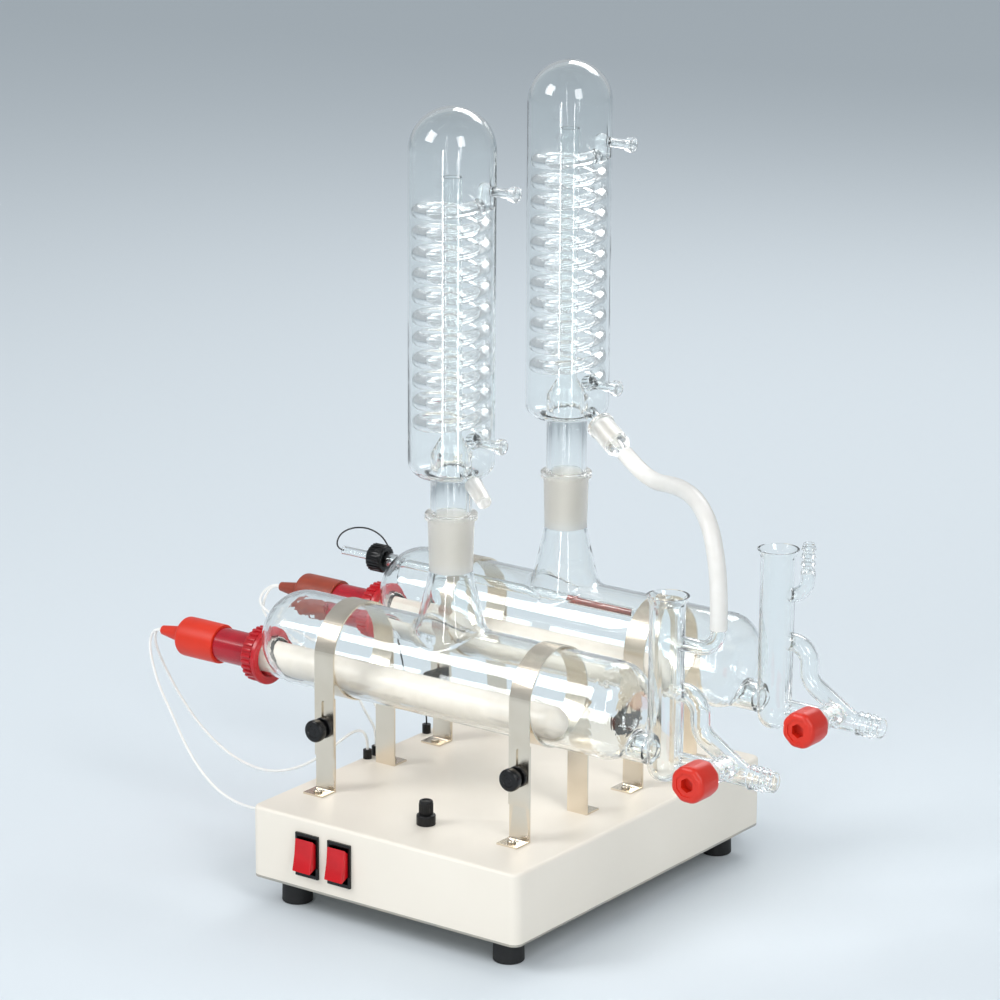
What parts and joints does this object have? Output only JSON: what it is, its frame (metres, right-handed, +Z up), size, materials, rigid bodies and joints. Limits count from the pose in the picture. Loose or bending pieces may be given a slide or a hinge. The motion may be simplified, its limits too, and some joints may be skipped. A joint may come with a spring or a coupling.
{
  "type": "water distiller",
  "caption": "Glass water distiller: horizontal heated boilers with coil condensers and level devices, strapped to a switched steel control box.",
  "frame": {"origin": "on the bench, in the upright plane through both boiler necks, halfway between the box's front and back", "axes": "+X along the boilers from the heaters to the stopcocks, +Y from the switch face to the back, +Z up"},
  "size_m": [0.6438, 0.3721, 0.687],
  "materials": {
    "cream_paint": "satin",
    "steel_plate": "satin",
    "strap_steel": "polished",
    "screw_steel": "polished",
    "black_rubber": "matte",
    "black_plastic": "gloss",
    "switch_red": "gloss",
    "borosilicate": "gloss",
    "coil_glass": "gloss",
    "quartz_sheath": "satin",
    "core_ceramic": "matte",
    "red_plastic": "gloss",
    "red_silicone": "matte",
    "brown_rubber": "matte",
    "seal_silicone": "matte",
    "probe_brown": "satin",
    "white_ptfe": "satin",
    "lead_silicone": "matte",
    "wire_black": "matte",
    "hose_silicone": "satin",
    "fuse_glass": "gloss",
    "block_plastic": "matte"
  },
  "bodies": {
    "base": {"base_cover": "cream_paint", "base_plate": "steel_plate", "rubber_feet": "black_rubber", "foot_screws": "screw_steel", "left_switch_frame": "black_plastic", "right_switch_frame": "black_plastic", "fuse_body": "black_plastic", "fuse_link": "fuse_glass", "fuse_nut": "black_plastic", "cable_glands": "black_plastic", "mains_inlet": "black_plastic", "terminal_block": "block_plastic", "front_left_strap_band": "strap_steel", "front_left_strap_bracket": "strap_steel", "front_right_strap_band": "strap_steel", "front_right_strap_bracket": "strap_steel", "front_boiler": "borosilicate", "front_heater_sheath": "quartz_sheath", "front_heater_hood": "red_silicone", "front_level_device": "borosilicate", "rear_left_strap_band": "strap_steel", "rear_left_strap_bracket": "strap_steel", "rear_right_strap_band": "strap_steel", "rear_right_strap_bracket": "strap_steel", "rear_boiler": "borosilicate", "rear_heater_sheath": "quartz_sheath", "rear_heater_hood": "brown_rubber", "rear_condenser_jacket": "borosilicate", "rear_condenser_coil": "coil_glass", "rear_level_device": "borosilicate", "strap_saddles": "strap_steel", "clamp_nuts": "screw_steel", "strap_screws": "screw_steel", "heater_cores": "core_ceramic", "heater_seals": "seal_silicone", "probe_tube": "borosilicate", "probe_tip": "probe_brown", "hose_adapter": "borosilicate", "silicone_hose": "hose_silicone", "front_lead_low": "lead_silicone", "front_lead_high": "lead_silicone", "rear_lead_low": "lead_silicone", "rear_lead_high": "lead_silicone", "probe_wire": "wire_black"},
    "left_rocker": {"left_rocker": "switch_red"},
    "right_rocker": {"right_rocker": "switch_red"},
    "fuse_cap": {"fuse_cap": "black_plastic"},
    "front_left_knob": {"front_left_clamp_knob": "black_plastic"},
    "front_right_knob": {"front_right_clamp_knob": "black_plastic"},
    "rear_left_knob": {"rear_left_clamp_knob": "black_plastic"},
    "rear_right_knob": {"rear_right_clamp_knob": "black_plastic"},
    "front_stopcock": {"front_stopcock_key": "white_ptfe", "front_stopcock_knob": "red_plastic"},
    "rear_stopcock": {"rear_stopcock_key": "white_ptfe", "rear_stopcock_knob": "red_plastic"},
    "front_heater_cap": {"front_heater_cap": "red_plastic"},
    "rear_heater_cap": {"rear_heater_cap": "red_plastic"},
    "probe_cap": {"probe_cap": "black_plastic"},
    "front_condenser": {"front_condenser_jacket": "borosilicate", "front_condenser_coil": "coil_glass"}
  },
  "joints": [
    {"name": "left_rocker_press", "type": "hinge", "parent": "base", "child": "left_rocker", "pos_m": [-0.067, -0.18, 0.055], "axis": [1, 0, 0], "range_deg": [0, 18]},
    {"name": "right_rocker_press", "type": "hinge", "parent": "base", "child": "right_rocker", "pos_m": [-0.0335, -0.18, 0.055], "axis": [1, 0, 0], "range_deg": [0, 18]},
    {"name": "fuse_cap_turn", "type": "hinge", "parent": "base", "child": "fuse_cap", "pos_m": [0.0163, -0.129, 0.095], "axis": [0, 0, 1], "range_deg": [0, 90]},
    {"name": "front_left_knob_turn", "type": "hinge", "parent": "base", "child": "front_left_knob", "pos_m": [-0.1, -0.11635, 0.142], "axis": [0, -1, 0], "continuous": true},
    {"name": "front_right_knob_turn", "type": "hinge", "parent": "base", "child": "front_right_knob", "pos_m": [0.1, -0.11635, 0.142], "axis": [0, -1, 0], "continuous": true},
    {"name": "rear_left_knob_turn", "type": "hinge", "parent": "base", "child": "rear_left_knob", "pos_m": [-0.1, 0.04665, 0.142], "axis": [0, -1, 0], "continuous": true},
    {"name": "rear_right_knob_turn", "type": "hinge", "parent": "base", "child": "rear_right_knob", "pos_m": [0.1, 0.04665, 0.142], "axis": [0, -1, 0], "continuous": true},
    {"name": "front_stopcock_turn", "type": "hinge", "parent": "base", "child": "front_stopcock", "pos_m": [0.265, -0.074, 0.171], "axis": [0, -1, 0], "continuous": true},
    {"name": "rear_stopcock_turn", "type": "hinge", "parent": "base", "child": "rear_stopcock", "pos_m": [0.265, 0.089, 0.171], "axis": [0, -1, 0], "continuous": true},
    {"name": "front_heater_cap_turn", "type": "hinge", "parent": "base", "child": "front_heater_cap", "pos_m": [-0.2, -0.074, 0.176], "axis": [-1, 0, 0], "range_deg": [0, 360]},
    {"name": "rear_heater_cap_turn", "type": "hinge", "parent": "base", "child": "rear_heater_cap", "pos_m": [-0.2, 0.089, 0.176], "axis": [-1, 0, 0], "range_deg": [0, 360]},
    {"name": "probe_cap_turn", "type": "hinge", "parent": "base", "child": "probe_cap", "pos_m": [-0.2, 0.089, 0.223], "axis": [-1, 0, 0], "range_deg": [0, 360]},
    {"name": "front_condenser_lift", "type": "slide", "parent": "base", "child": "front_condenser", "axis": [0, 0, 1], "range_m": [0, 0.06]}
  ]
}
